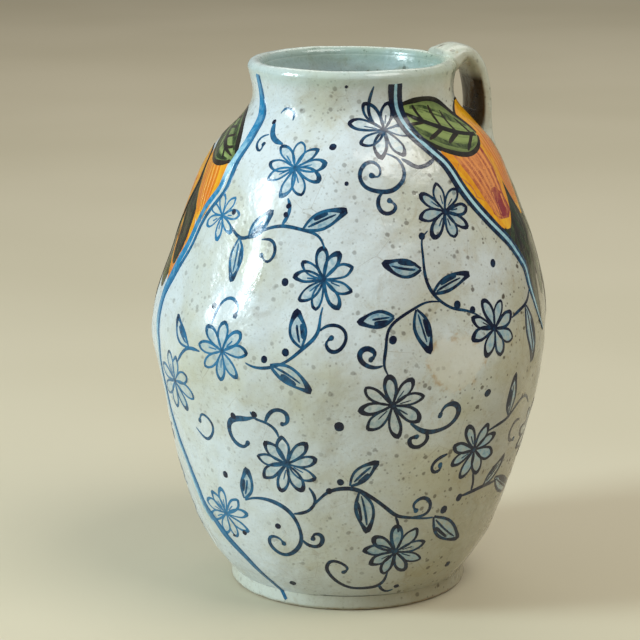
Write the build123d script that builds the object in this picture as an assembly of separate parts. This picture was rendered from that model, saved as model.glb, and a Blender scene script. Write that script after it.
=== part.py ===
from build123d import *
import os

os.makedirs("parts", exist_ok=True)

# A hand-built ceramic pitcher: a pot luted together from thrown clay rings, with a small
# strap handle. Millimetres. The origin is the centre of the foot on the table, +Z is up, and
# the handle stands on the +X side. Every outline lies in the XZ plane and turns about Z.

# Driving dimensions
PITCHER_HEIGHT = 220.0
FOOT_RADIUS = 49.6
BELLY_RADIUS = 82.2
NECK_RADIUS = 41.1
LIP_RADIUS = 42.5
WALL_AT_FOOT = 7.0
WALL_AT_LIP = 6.2

# Foot ring and floor
FOOT_HEIGHT = 6.0
FOOT_BORE_RADIUS = 38.0
FOOT_WAIST_RADIUS = FOOT_RADIUS - 0.4
FOOT_EDGE_ROUND = 1.8
FLOOR_RADIUS = 42.0
FLOOR_RECESS = 3.0
FLOOR_THICKNESS = 7.0
FLOOR_TOP = FLOOR_RECESS + FLOOR_THICKNESS
TONGUE_RADIUS = 45.6
TONGUE_WIDTH = 2.4
TONGUE_HEIGHT = 2.0

# Seams between the clay rings: each is a lap, stepped up by SEAM_LAP half way through the wall
SEAM_LAP = 2.5
BELLY_SEAM_HEIGHT = 108.0
BELLY_STEP_RADIUS = 79.0
NECK_SEAM_HEIGHT = 194.0
NECK_STEP_RADIUS = 44.6
LIP_SEAM_HEIGHT = 210.0
LIP_STEP_RADIUS = 39.0

# Handle: a flat strap that rises over the lip and comes down on the shoulder
STRAP_WIDTH = 22.0
STRAP_THICKNESS = 7.0
STRAP_EDGE_ROUND = 3.2
HANDLE_CREST_HEIGHT = PITCHER_HEIGHT + 0.6
HANDLE_REACH = 55.8

# Luting clay: the flared collars that fair the strap's two ends into the pot
LUTING_EDGE = 0.5
LUTING_FLARE_DEGREES = 17.0
UPPER_LUTING_START = 0.14
UPPER_LUTING_LENGTH = 8.0
LOWER_LUTING_START = 0.86
LOWER_LUTING_LENGTH = 13.0

# Reaches past the outside of the pot, for cutting outlines
BEYOND = BELLY_RADIUS + 20.0


def rz(radius, height):
    """A point of an outline, by its distance from the pot's axis and its height."""
    return Vector(radius, 0, height)


def polygon(*points):
    """A flat face with straight sides through outline points."""
    return make_face(Polyline(*points, close=True))


def turned(outline):
    """The solid of revolution of an outline, its surface's seam away from the handle."""
    return Rot(0, 0, 180) * revolve(outline, axis=Axis.Z)


# The clay's outer skin, from the top of the foot to the lip
outer_curve = Spline(
    rz(FOOT_WAIST_RADIUS, FOOT_HEIGHT),
    rz(60.0, 22.0),
    rz(70.0, 50.0),
    rz(77.4, 82.0),
    rz(BELLY_RADIUS, 110.0),
    rz(76.9, 135.0),
    rz(68.6, 160.0),
    rz(57.4, 184.0),
    rz(46.2, 196.6),
    rz(NECK_RADIUS, 205.0),
    rz(LIP_RADIUS, PITCHER_HEIGHT - WALL_AT_LIP / 2),
    tangents=[rz(0.8, 1.0), rz(0.0, 1.0)],
)


def inner_skin(fraction):
    """The point one wall thickness inside the outer skin, part of the way up the curve."""
    skin = outer_curve @ fraction
    along = outer_curve % fraction
    wall = WALL_AT_FOOT + (WALL_AT_LIP - WALL_AT_FOOT) * fraction
    return skin + Vector(-along.Z, 0, along.X) * wall


# The inner skin starts at the edge of the floor and keeps an even wall up to the lip
INNER_STATIONS = 12
FIRST_STATION = 0.08
station_step = (1.0 - FIRST_STATION) / (INNER_STATIONS - 1)
inner_curve = Spline(
    rz(FLOOR_RADIUS, FLOOR_TOP),
    *[inner_skin(FIRST_STATION + station_step * i) for i in range(INNER_STATIONS)],
)
lip_arc = ThreePointArc(
    outer_curve @ 1,
    rz(LIP_RADIUS - WALL_AT_LIP / 2, PITCHER_HEIGHT),
    inner_curve @ 1,
)
wall_outline = make_face(
    [
        outer_curve,
        lip_arc,
        inner_curve,
        Line(rz(FLOOR_RADIUS, FLOOR_TOP), rz(FLOOR_RADIUS, FOOT_HEIGHT)),
        Line(rz(FLOOR_RADIUS, FOOT_HEIGHT), rz(FOOT_WAIST_RADIUS, FOOT_HEIGHT)),
    ]
)

# The pot's outer form as if it were solid, with the way in over its mouth: what the handle's
# pieces are trimmed to
mouth_edge = inner_curve @ 1
envelope = turned(
    make_face(
        [
            outer_curve,
            lip_arc,
            Polyline(
                mouth_edge,
                rz(mouth_edge.X, PITCHER_HEIGHT + BEYOND),
                rz(0, PITCHER_HEIGHT + BEYOND),
                rz(0, FOOT_HEIGHT),
                rz(FOOT_WAIST_RADIUS, FOOT_HEIGHT),
            ),
        ]
    )
)


def below_seam(height, step_radius):
    """Everything under a lapped seam: its outer half reaches SEAM_LAP higher than its inner."""
    return polygon(
        rz(0, -BEYOND),
        rz(BEYOND, -BEYOND),
        rz(BEYOND, height + SEAM_LAP),
        rz(step_radius, height + SEAM_LAP),
        rz(step_radius, height),
        rz(0, height),
    )


def tongue(base_height):
    """The ring on top of the foot that the pot's wall is keyed over."""
    half = TONGUE_WIDTH / 2
    return polygon(
        rz(TONGUE_RADIUS - half, base_height),
        rz(TONGUE_RADIUS + half, base_height),
        rz(TONGUE_RADIUS + half, base_height + TONGUE_HEIGHT),
        rz(TONGUE_RADIUS - half, base_height + TONGUE_HEIGHT),
    )


def make_floor_disc():
    """The slab of clay that closes the bottom, resting in the foot ring's rabbet."""
    disc = Cylinder(
        FLOOR_RADIUS, FLOOR_THICKNESS, align=(Align.CENTER, Align.CENTER, Align.MIN)
    )
    return Pos(0, 0, FLOOR_RECESS) * disc


def make_foot_ring():
    """The turned ring the pitcher stands on, with a rounded outer edge and a ledge inside."""
    flare = [
        Line(rz(FOOT_BORE_RADIUS, 0), rz(FOOT_RADIUS - FOOT_EDGE_ROUND, 0)),
        Spline(
            rz(FOOT_RADIUS - FOOT_EDGE_ROUND, 0),
            rz(FOOT_RADIUS, FOOT_EDGE_ROUND),
            rz(FOOT_WAIST_RADIUS, FOOT_HEIGHT),
            tangents=[rz(1, 0), rz(0, 1)],
        ),
        Polyline(
            rz(FOOT_WAIST_RADIUS, FOOT_HEIGHT),
            rz(FLOOR_RADIUS, FOOT_HEIGHT),
            rz(FLOOR_RADIUS, FLOOR_RECESS),
            rz(FOOT_BORE_RADIUS, FLOOR_RECESS),
            rz(FOOT_BORE_RADIUS, 0),
        ),
    ]
    return turned(make_face(flare) + tongue(FOOT_HEIGHT))


def make_wall_rings():
    """The four rings of the wall, cut from one outline at the lapped seams."""
    below_belly = below_seam(BELLY_SEAM_HEIGHT, BELLY_STEP_RADIUS)
    below_neck = below_seam(NECK_SEAM_HEIGHT, NECK_STEP_RADIUS)
    below_lip = below_seam(LIP_SEAM_HEIGHT, LIP_STEP_RADIUS)
    return {
        "lower_body": turned((wall_outline & below_belly) - tongue(FOOT_HEIGHT)),
        "upper_body": turned((wall_outline - below_belly) & below_neck),
        "neck_collar": turned((wall_outline - below_neck) & below_lip),
        "rim_roll": turned(wall_outline - below_lip),
    }


# The line down the middle of the strap, from inside the lip to inside the shoulder
strap_path = Spline(
    rz(38.5, 213.0),
    rz(42.6, 218.6),
    rz(47.4, HANDLE_CREST_HEIGHT),
    rz(52.0, 217.4),
    rz(54.8, 209.5),
    rz(HANDLE_REACH, 199.0),
    rz(54.4, 183.0),
)


def strap_section(fraction, facing, edge):
    """The strap's flat, round-edged section at a place on its line, grown by an edge."""
    place = Plane(
        origin=strap_path @ fraction,
        x_dir=(0, 1, 0),
        z_dir=(strap_path % fraction) * facing,
    )
    return place * RectangleRounded(
        STRAP_WIDTH + 2 * edge,
        STRAP_THICKNESS + 2 * edge,
        STRAP_EDGE_ROUND + edge,
    )


def luting(start, facing, length):
    """A collar of clay round one end of the strap, flaring until it meets the pot."""
    flare = extrude(
        strap_section(start, facing, LUTING_EDGE),
        amount=length,
        taper=-LUTING_FLARE_DEGREES,
    )
    return flare - envelope - strap


strap = sweep(strap_section(0, 1, 0), path=strap_path)
pieces = {
    "floor_disc": make_floor_disc(),
    "foot_ring": make_foot_ring(),
    **make_wall_rings(),
    "handle_strap": strap - envelope,
    "handle_upper_luting": luting(UPPER_LUTING_START, -1, UPPER_LUTING_LENGTH),
    "handle_lower_luting": luting(LOWER_LUTING_START, 1, LOWER_LUTING_LENGTH),
}
for name, piece in pieces.items():
    export_step(piece, f"parts/{name}.step")
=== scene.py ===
import math

import bpy
import numpy as np
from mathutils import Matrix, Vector


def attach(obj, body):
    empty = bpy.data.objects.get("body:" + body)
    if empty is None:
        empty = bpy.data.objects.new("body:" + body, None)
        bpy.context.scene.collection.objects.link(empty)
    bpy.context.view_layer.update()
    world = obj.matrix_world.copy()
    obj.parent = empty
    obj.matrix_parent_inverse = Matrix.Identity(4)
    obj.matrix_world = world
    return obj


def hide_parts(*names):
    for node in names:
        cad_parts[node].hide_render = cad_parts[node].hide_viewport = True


# A hand-built, hand-painted ceramic pitcher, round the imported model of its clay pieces.
# Shapes are worked out in millimetres and become metres when a mesh is made. Places on the
# pot are given as an angle about its axis in degrees, with the handle at 0, and a height.

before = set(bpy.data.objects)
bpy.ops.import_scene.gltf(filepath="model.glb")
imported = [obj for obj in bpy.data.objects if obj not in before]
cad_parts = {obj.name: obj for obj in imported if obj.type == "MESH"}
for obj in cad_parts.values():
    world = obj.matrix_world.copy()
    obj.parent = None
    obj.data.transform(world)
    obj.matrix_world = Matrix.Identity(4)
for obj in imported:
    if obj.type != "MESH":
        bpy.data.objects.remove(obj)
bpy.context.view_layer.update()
MM = 0.001
BODY = "root"


# ---------------------------------------------------------------- lines

def run_of(line):
    """The distance along a line of points at each of its points."""
    steps = np.linalg.norm(np.diff(line, axis=0), axis=1)
    return np.concatenate([[0.0], np.cumsum(steps)])


def resample(line, spacing):
    """The same line with its points an even spacing apart."""
    run = run_of(line)
    even = np.linspace(0.0, run[-1], max(3, round(run[-1] / spacing) + 1))
    return np.stack([np.interp(even, run, line[:, k]) for k in range(line.shape[1])], axis=1)


def smooth_line(points, spacing):
    """A natural cubic spline through the points, sampled at an even spacing."""
    points = np.asarray(points, float)
    steps = np.sqrt(np.linalg.norm(np.diff(points, axis=0), axis=1))
    knots = np.concatenate([[0.0], np.cumsum(steps)])
    system = np.eye(len(points))
    right = np.zeros_like(points)
    for i in range(1, len(points) - 1):
        before, after = steps[i - 1], steps[i]
        system[i, i - 1 : i + 2] = before, 2 * (before + after), after
        slopes = (points[i + 1] - points[i]) / after - (points[i] - points[i - 1]) / before
        right[i] = 6 * slopes
    bend = np.linalg.solve(system, right)
    fine = np.linspace(0.0, knots[-1], 30 * len(points))
    i = np.clip(np.searchsorted(knots, fine, side="right") - 1, 0, len(points) - 2)
    h = steps[i][:, None]
    b = (fine - knots[i])[:, None] / h
    a = 1 - b
    line = a * points[i] + b * points[i + 1]
    line += ((a**3 - a) * bend[i] + (b**3 - b) * bend[i + 1]) * h * h / 6
    return resample(line, spacing)


# ---------------------------------------------------------------- the clay's form

FOOT_HEIGHT = 6.0
FOOT_RADIUS = 49.6
FOOT_WAIST_RADIUS = 49.2
FOOT_BORE_RADIUS = 38.0
FLOOR_RADIUS = 42.0
FLOOR_TOP = 10.0
FLOOR_UNDERSIDE = 3.0
WALL_AT_FOOT = 7.0
WALL_AT_LIP = 6.2
LIP_RADIUS = 42.5
LIP_HEIGHT = 220.0
SEAM_LAP = 2.5
BELLY_SEAM = 108.0
NECK_SEAM = 194.0
LIP_SEAM = 210.0

# The outer skin's outline as (radius, height), from the top of the foot to the lip
OUTER_OUTLINE = [
    (FOOT_WAIST_RADIUS, FOOT_HEIGHT),
    (54.2, 12.4),
    (60.0, 22.0),
    (70.0, 50.0),
    (77.4, 82.0),
    (82.2, 110.0),
    (76.9, 135.0),
    (68.6, 160.0),
    (57.4, 184.0),
    (46.2, 196.6),
    (41.1, 205.0),
    (LIP_RADIUS, LIP_HEIGHT - WALL_AT_LIP / 2),
]

# The hand-built pot leans a little one way and back: (height, drift along DRIFT_DIRECTION)
DRIFT_DIRECTION = np.array([math.cos(math.radians(-22)), math.sin(math.radians(-22)), 0.0])
DRIFT = np.array([(0, -0.5), (30, -1.6), (60, -0.4), (100, -0.2), (140, 1.2), (180, 1.7), (220, 0.3)])

# Hand-pressed unevenness, as crossing waves: (count, wavelength, height)
LUMP_WAVES = [(7, 52.0, 0.21), (9, 27.0, 0.12), (9, 13.0, 0.035)]
LUMP_FADE_HEIGHT = 12.0
RIM_CALM_HEIGHTS = (196.0, 212.0)

rng = np.random.RandomState(5)
waves = []
for wave_count, wavelength, wave_height in LUMP_WAVES:
    for _ in range(wave_count):
        direction = rng.normal(size=3)
        direction /= np.linalg.norm(direction)
        length = wavelength * rng.uniform(0.8, 1.25)
        waves.append((direction * 2 * math.pi / length, rng.uniform(0, 2 * math.pi), wave_height))


def settle(points, normals, lift=0.0):
    """Moves points of the even form out to the uneven hand-built one, and lift further out."""
    lumps = sum(height * np.sin(points @ pull + phase) for pull, phase, height in waves)
    lumps = lumps * np.clip(points[..., 2] / LUMP_FADE_HEIGHT, 0.0, 1.0)
    lumps = lumps * np.interp(points[..., 2], RIM_CALM_HEIGHTS, (1.0, 0.4))
    drift = np.interp(points[..., 2], DRIFT[:, 0], DRIFT[:, 1])
    out = normals * (lumps + lift)[..., None]
    return points + out + drift[..., None] * DRIFT_DIRECTION


SKIN = smooth_line(OUTER_OUTLINE, 0.5)
skin_along = np.gradient(SKIN, axis=0)
skin_along /= np.linalg.norm(skin_along, axis=1)[:, None]
SKIN_NORMAL = np.stack([skin_along[:, 1], -skin_along[:, 0]], axis=1)


# Where paint is laid: the side of the foot, then the skin above it
FOOT_SIDE = [(FOOT_RADIUS, 1.8), (49.5, 3.0), (49.3, 4.4)]
GROUND = np.concatenate([FOOT_SIDE, SKIN])
GROUND_RUN = run_of(GROUND)
ground_along = np.gradient(GROUND, axis=0)
ground_along /= np.linalg.norm(ground_along, axis=1)[:, None]


def up_wall(height):
    """The distance up the painted ground from its lowest place to a height."""
    return np.interp(height, GROUND[:, 1], GROUND_RUN)


def radius_at(run):
    """The pot's radius at a distance up the wall."""
    return np.interp(run, GROUND_RUN, GROUND[:, 0])


def on_skin(angle, run, lift):
    """Points on the outer skin, by angle and distance up the wall, lifted off it."""
    turn = np.radians(angle)
    radius = radius_at(run)
    height = np.interp(run, GROUND_RUN, GROUND[:, 1])
    flat = np.interp(run, GROUND_RUN, ground_along[:, 1])
    rise = np.interp(run, GROUND_RUN, -ground_along[:, 0])
    points = np.stack([radius * np.cos(turn), radius * np.sin(turn), height], axis=-1)
    normals = np.stack([flat * np.cos(turn), flat * np.sin(turn), rise], axis=-1)
    return settle(points, normals, lift)


# ---------------------------------------------------------------- meshes

def add_piece(name, points, faces, material, replaces=(), loop_normals=None, marks=None):
    """A closed mesh from points in millimetres, riding on the pitcher's one body."""
    mesh = bpy.data.meshes.new(name)
    mesh.from_pydata((np.asarray(points) * MM).tolist(), [], faces)
    mesh.polygons.foreach_set("use_smooth", [True] * len(mesh.polygons))
    for label, values in (marks or {}).items():
        mesh.attributes.new(label, "FLOAT", "POINT").data.foreach_set("value", values)
    if loop_normals is not None:
        mesh.normals_split_custom_set(loop_normals.tolist())
    mesh.materials.append(material)
    piece = bpy.data.objects.new(name, mesh)
    bpy.context.scene.collection.objects.link(piece)
    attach(piece, BODY)
    if replaces:
        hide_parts(*replaces)
    return piece


def quads(rows, columns, wrap=False, outward=True):
    """Faces between the rows of a grid of points. Each row is a ring, and wrap joins the last
    row to the first."""
    faces = []
    for i in range(rows if wrap else rows - 1):
        here, after = i * columns, (i + 1) % rows * columns
        for j in range(columns):
            m = (j + 1) % columns
            a, b, c, d = here + j, here + m, after + m, after + j
            faces.append((a, b, c, d) if outward else (a, d, c, b))
    return faces


def capped_faces(rows, columns, outward=True):
    """The faces of a stack of rings with a cap at each end."""
    first = tuple(range(columns))
    last = tuple((rows - 1) * columns + j for j in first)
    caps = [first[::-1], last] if outward else [first, last[::-1]]
    return caps + quads(rows, columns, outward=outward)


def corners(grid):
    """The values at each face's corners, in the order that quads gives them."""
    after = np.roll(grid, -1, axis=0)
    return np.stack([grid, np.roll(grid, -1, axis=1), np.roll(after, -1, axis=1), after], axis=2)


TURN_STEPS = 288
TURNS = np.radians(np.arange(TURN_STEPS) * 360.0 / TURN_STEPS)


def spun(section):
    """Rings of uneven clay from an outline of (radius, height), with their shading normals."""
    section = np.asarray(section, float)
    along = np.gradient(section, axis=0)
    along /= np.linalg.norm(along, axis=1)[:, None]
    cos, sin = np.cos(TURNS)[None, :], np.sin(TURNS)[None, :]
    radius, height = section[:, :1], section[:, 1:] + 0 * cos
    even = np.stack([radius * cos, radius * sin, height], axis=-1)
    flat, rise = along[:, 1:], -along[:, :1] + 0 * cos
    rings = settle(even, np.stack([flat * cos, flat * sin, rise], axis=-1))
    up = np.gradient(rings, axis=0)
    onward = np.roll(rings, -1, axis=1) - np.roll(rings, 1, axis=1)
    normals = np.cross(onward, up)
    normals /= np.linalg.norm(normals, axis=-1)[..., None]
    return rings, normals


def ring_piece(name, runs, material, node):
    """A closed ring of clay. runs are (rings, normals) of its skins, in order round the section;
    the flat faces between one run's end and the next run's start are its joints."""
    rings = np.concatenate([run[0] for run in runs])
    normals = np.concatenate([run[1] for run in runs])
    joints = np.cumsum([len(run[0]) for run in runs]) - 1
    loop_normals = corners(normals)
    at_joints = corners(rings)[joints]
    one, other = at_joints[:, :, 1] - at_joints[:, :, 0], at_joints[:, :, 3] - at_joints[:, :, 0]
    flat = np.cross(one, other)
    flat /= np.linalg.norm(flat, axis=-1)[..., None] + 1e-12
    loop_normals[joints] = flat[:, :, None]
    faces = quads(len(rings), TURN_STEPS, wrap=True)
    add_piece(name, rings.reshape(-1, 3), faces, material, [node], loop_normals.reshape(-1, 3))


# ---------------------------------------------------------------- glaze and paint

def linear(*screen):
    """A shader colour from red, green and blue screen values of 0 to 255."""
    return [((c / 255 + 0.055) / 1.055) ** 2.4 if c > 10 else c / 255 / 12.92 for c in screen] + [1.0]


class Finish:
    """A ceramic material, built up from nodes."""

    def __init__(self, name, roughness, coat, specular=0.5):
        self.material = bpy.data.materials.new(name)
        self.material.use_nodes = True
        self.tree = self.material.node_tree
        self.shader = self.tree.nodes["Principled BSDF"]
        self.shader.inputs["Roughness"].default_value = roughness
        self.shader.inputs["Coat Weight"].default_value = coat
        self.shader.inputs["Coat Roughness"].default_value = 0.12
        self.shader.inputs["Specular IOR Level"].default_value = specular
        self.place = self.node("TexCoord").outputs["Object"]

    def set(self, socket, value):
        if isinstance(value, bpy.types.NodeSocket):
            self.tree.links.new(value, socket)
        else:
            socket.default_value = value

    def node(self, kind, inputs=None, **settings):
        """A new node, with its settings made and its inputs set or linked."""
        node = self.tree.nodes.new("ShaderNode" + kind)
        for name, value in settings.items():
            setattr(node, name, value)
        for socket, value in (inputs or {}).items():
            self.set(node.inputs[socket], value)
        return node

    def noise(self, size, detail=3.0, roughness=0.5, distortion=0.0):
        """Cloudy noise whose features are about size millimetres across."""
        inputs = {"Vector": self.place, "Scale": 1 / (size * MM), "Detail": detail}
        inputs |= {"Roughness": roughness, "Distortion": distortion}
        return self.node("TexNoise", inputs).outputs["Fac"]

    def cells(self, size, feature="F1"):
        inputs = {"Vector": self.place, "Scale": 1 / (size * MM)}
        return self.node("TexVoronoi", inputs, feature=feature).outputs["Distance"]

    def part(self, vector, axis):
        return self.node("SeparateXYZ", {0: vector}).outputs[axis]

    def height(self):
        return self.part(self.place, 2)

    def maths(self, operation, *values):
        return self.node("Math", dict(enumerate(values)), operation=operation).outputs[0]

    def plus(self, one, other):
        return self.maths("ADD", one, other)

    def times(self, one, other):
        return self.maths("MULTIPLY", one, other)

    def fade(self, value, low, high, at_low=0.0, at_high=1.0):
        """at_low where value is low or less, at_high where it is high or more."""
        inputs = dict(enumerate((value, low, high, at_low, at_high)))
        return self.node("MapRange", inputs, interpolation_type="SMOOTHSTEP").outputs[0]

    def mix(self, amount, under, over, blend="MIX"):
        inputs = {0: amount, 6: under, 7: over}
        return self.node("Mix", inputs, data_type="RGBA", blend_type=blend).outputs[2]

    def mark(self, name):
        return self.node("Attribute", attribute_name=name).outputs["Fac"]

    def bump(self, height, depth):
        """Bump from a height that runs from 0 to 1, over a depth in millimetres."""
        inputs = {"Strength": 1.0, "Distance": depth * MM, "Height": height}
        self.set(self.shader.inputs["Normal"], self.node("Bump", inputs).outputs[0])

    def finish(self, colour, roughness=None):
        self.set(self.shader.inputs["Base Color"], colour)
        if roughness is not None:
            self.set(self.shader.inputs["Roughness"], roughness)
        return self.material


def glaze_skin(finish):
    """The glaze's fine surface: shallow dimples and orange peel."""
    dimples = finish.times(finish.noise(8, 2.5), 0.8)
    peel = finish.times(finish.noise(1.6, 2.0), 0.1)
    finish.bump(finish.plus(dimples, peel), 0.9)


RUST = (158, 132, 84)
OCHRE = (176, 140, 84)
GRIT_GREY = (126, 118, 92)
# Buff for age and for painted shade low on the +X side
AGED_AND_SHADE_BUFF = (140, 130, 98)
CRAZE_BROWN = (118, 100, 66)
SPECK_BROWN = (58, 44, 26)
RUBBED_WHITE = (216, 216, 204)
LIP_GREEN = (158, 182, 166)
# Painted shade for the inside, and painted shadow for the handle's side towards the neck
INSIDE_SHADE_TINT = (216, 230, 230)
HANDLE_SHADOW_BROWN = (84, 62, 36)
WORN_CLAY = (150, 124, 88)

# Marks in the glaze: (noise, where a mark starts, where it is full, strength, colour or stain)
GLAZE_MARKS = [
    ((6, 4.0, 0.65), 0.45, 0.8, 0.5, None),
    ((15, 5.0, 0.72, 0.6), 0.57, 0.7, 0.6, None),
    ((4.4, 5.0, 0.7, 0.4), 0.63, 0.74, 0.6, RUST),
]

# Iron specks: (how far apart, reach, strength)
SPECKS = [(5.6, 0.27, 0.95), (2.8, 0.28, 0.75), (9.5, 0.2, 1.0)]


def glaze_colour(finish, cool, warm, stain, specks=1.0):
    """Off-white glaze, clouded with a warmer grey, stained and specked with brown. The side of
    the pot towards +X is warmer and darker, most of all low down: partly because the kiln was
    smokier there, partly as painted shade for the side away from the window."""
    # Painted shade: this mask rises towards +X, the side away from the window. It makes the glaze warmer
    # and darker there, as well as more stained and specked.
    smoked_and_shaded_side = finish.fade(finish.part(finish.place, 0), -60 * MM, 70 * MM, 0.35, 1.0)
    clouds_and_shade = finish.plus(finish.noise(40, 4.0, 0.55), finish.times(smoked_and_shaded_side, 0.27))
    colour = finish.mix(finish.fade(clouds_and_shade, 0.53, 0.86), linear(*cool), linear(*warm))
    for noise, starts, full, strength, tone in GLAZE_MARKS:
        amount = finish.times(finish.fade(finish.noise(*noise), starts, full, 0.0, strength), smoked_and_shaded_side)
        colour = finish.mix(amount, colour, linear(*(tone or stain)))
    grain = finish.fade(finish.noise(0.9, 2.0), 0.55, 0.8, 0.0, 0.3)
    colour = finish.mix(grain, colour, linear(*GRIT_GREY))
    # Painted shade with age: low down on the +X side the glaze is darkened towards buff.
    low = finish.plus(finish.times(finish.height(), -0.55), finish.part(finish.place, 0))
    aged_and_shaded = finish.fade(low, -50 * MM, 0.0, 0.0, 0.58)
    colour = finish.mix(aged_and_shaded, colour, linear(*AGED_AND_SHADE_BUFF))
    craze = finish.fade(finish.cells(15, "DISTANCE_TO_EDGE"), 0.0, 0.012, 0.3, 0.0)
    craze = finish.times(craze, finish.fade(finish.noise(24), 0.5, 0.62))
    colour = finish.mix(craze, colour, linear(*CRAZE_BROWN))
    where = finish.times(finish.fade(finish.noise(20, 3.0), 0.38, 0.54), smoked_and_shaded_side)
    for size, reach, strength in SPECKS:
        wobble = finish.times(finish.noise(size * 0.25), 0.16)
        near = finish.plus(finish.cells(size), wobble)
        speck = finish.fade(near, reach * 0.75, reach + 0.02, strength * specks, 0.0)
        colour = finish.mix(finish.times(speck, where), colour, linear(*SPECK_BROWN))
    return colour


def rubbed_patch(finish, colour, centre, radius):
    """A paler place about a centre, where the glaze was rubbed thin, with an ochre edge."""
    middle = [c * MM for c in centre]
    away = finish.node("VectorMath", {0: finish.place, 1: middle}, operation="DISTANCE").outputs["Value"]
    away = finish.plus(away, finish.times(finish.noise(9, 5.0, 0.7), 12 * MM))
    pale = finish.fade(away, (radius + 4) * MM, (radius + 7) * MM, 0.6, 0.0)
    outside_it = finish.fade(away, (radius + 3) * MM, (radius + 6) * MM)
    near_it = finish.fade(away, (radius + 6) * MM, (radius + 8) * MM, 1.0, 0.0)
    broken = finish.fade(finish.noise(5, 3.0, 0.7), 0.46, 0.64, 0.0, 0.6)
    ochre = finish.times(finish.times(outside_it, near_it), broken)
    colour = finish.mix(pale, colour, linear(*RUBBED_WHITE))
    return finish.mix(ochre, colour, linear(*OCHRE))


def facing_in(finish, top):
    """1 where the surface faces the pitcher's axis, as it does all over the inside, and is
    lower than top."""
    normal = finish.node("NewGeometry").outputs["True Normal"]
    terms = [finish.times(finish.part(normal, k), finish.part(finish.place, k)) for k in (0, 1)]
    inward = finish.fade(finish.plus(*terms), -34 * MM, -4 * MM, 1.0, 0.0)
    return finish.times(inward, finish.fade(finish.height(), (top - 5.0) * MM, top * MM, 1.0, 0.0))


def worn_foot(finish, colour, top):
    """Glaze worn through to the clay below a height."""
    edge = finish.plus(finish.height(), finish.times(finish.noise(6), 3 * MM))
    worn = finish.fade(edge, top * MM, (top + 1.6) * MM, 0.85, 0.0)
    return finish.mix(worn, colour, linear(*WORN_CLAY))


def glazed(finish, colour):
    """Ends a glaze: its fine surface, and gloss that varies from place to place."""
    glaze_skin(finish)
    return finish.finish(colour, finish.fade(finish.noise(12, 3.0), 0.35, 0.7, 0.16, 0.32))


def body_glaze():
    """The wall's glaze, thin and green over the lip, with a rubbed patch and a darker, bluer inside that is
    painted shade.
    """
    finish = Finish("body_glaze", 0.2, 0.3, 0.42)
    colour = glaze_colour(finish, *BODY_COLOURS)
    lip = finish.fade(finish.height(), 211 * MM, 216 * MM, 0.0, 0.4)
    colour = finish.mix(lip, colour, linear(*LIP_GREEN))
    colour = rubbed_patch(finish, colour, PATCH_CENTRE, 12.0)
    # Painted shade: the inside of the pot is multiplied darker and bluer.
    shaded_inside = facing_in(finish, LIP_HEIGHT + 4.0)
    return glazed(finish, finish.mix(shaded_inside, colour, linear(*INSIDE_SHADE_TINT), "MULTIPLY"))


def handle_glaze():
    """The handle's glaze, with painted shadow in dark brown on the side that faces the neck."""
    finish = Finish("handle_glaze", 0.2, 0.1, 0.22)
    colour = glaze_colour(finish, (208, 214, 206), (190, 194, 178), (158, 150, 124), 0.5)
    # Painted shadow: the handle's side that faces the neck is multiplied dark brown.
    shadowed_inner_side = facing_in(finish, 214.0)
    return glazed(finish, finish.mix(shadowed_inner_side, colour, linear(*HANDLE_SHADOW_BROWN), "MULTIPLY"))


def foot_glaze():
    """The foot's glaze, greyer, and worn off along its edge."""
    finish = Finish("foot_glaze", 0.2, 0.3, 0.42)
    colour = glaze_colour(finish, (200, 206, 196), (172, 168, 142), (158, 140, 106), 0.8)
    return glazed(finish, worn_foot(finish, colour, 1.4))


def bare_clay():
    """Unglazed, groggy clay, which is the floor's underside. Its top is glazed like the walls."""
    finish = Finish("bare_clay", 0.85, 0.0, 0.3)
    tone = finish.fade(finish.noise(9, 5.0, 0.7), 0.35, 0.65)
    colour = finish.mix(tone, linear(196, 164, 128), linear(164, 128, 92))
    grog = finish.fade(finish.cells(2.2), 0.12, 0.26, 0.6, 0.0)
    colour = finish.mix(grog, colour, linear(110, 84, 60))
    pooled = finish.fade(finish.noise(11, 4.0), 0.4, 0.66)
    floor_colour = finish.mix(pooled, linear(178, 196, 192), linear(150, 156, 138))
    on_top = finish.fade(finish.height(), 6 * MM, 8 * MM)
    finish.bump(finish.noise(0.9, 4.0, 0.7), 0.35)
    colour = finish.mix(on_top, colour, floor_colour)
    return finish.finish(colour, finish.fade(on_top, 0.0, 1.0, 0.85, 0.22))


def paint(name, thin, thick, pooled):
    """Brushed colour under the glaze: thin in the stroke's middle, pooled at its edges. The
    mark called load, from 0 to 1, says how much paint the brush held."""
    finish = Finish(name, 0.2, 0.25, 0.32)
    streak = finish.fade(finish.noise(2.6, 3.0, 0.6), 0.35, 0.68)
    load = finish.plus(finish.mark("load"), finish.times(streak, 0.35))
    colour = finish.mix(finish.fade(load, 0.1, 1.25), linear(*thin), linear(*thick))
    edge = finish.fade(finish.mark("edge"), 0.5, 1.0, 0.0, pooled)
    glaze_skin(finish)
    return finish.finish(finish.mix(edge, colour, linear(*thick)))


def wash(name, thin, thick):
    """Watery colour over the body's glaze, which shows through where the wash is thin."""
    finish = Finish(name, 0.2, 0.4)
    streak = finish.fade(finish.noise(2.2, 3.0, 0.6), 0.35, 0.68, -0.15, 0.3)
    load = finish.plus(finish.mark("load"), streak)
    ground = glaze_colour(finish, *BODY_COLOURS)
    colour = finish.mix(finish.fade(load, 0.0, 0.9, 0.05, 1.0), ground, linear(*thin))
    colour = finish.mix(finish.fade(load, 0.6, 1.3), colour, linear(*thick))
    edge = finish.fade(finish.mark("edge"), 0.55, 1.0, 0.0, 0.25)
    glaze_skin(finish)
    return finish.finish(finish.mix(edge, colour, linear(*thick)))


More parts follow.
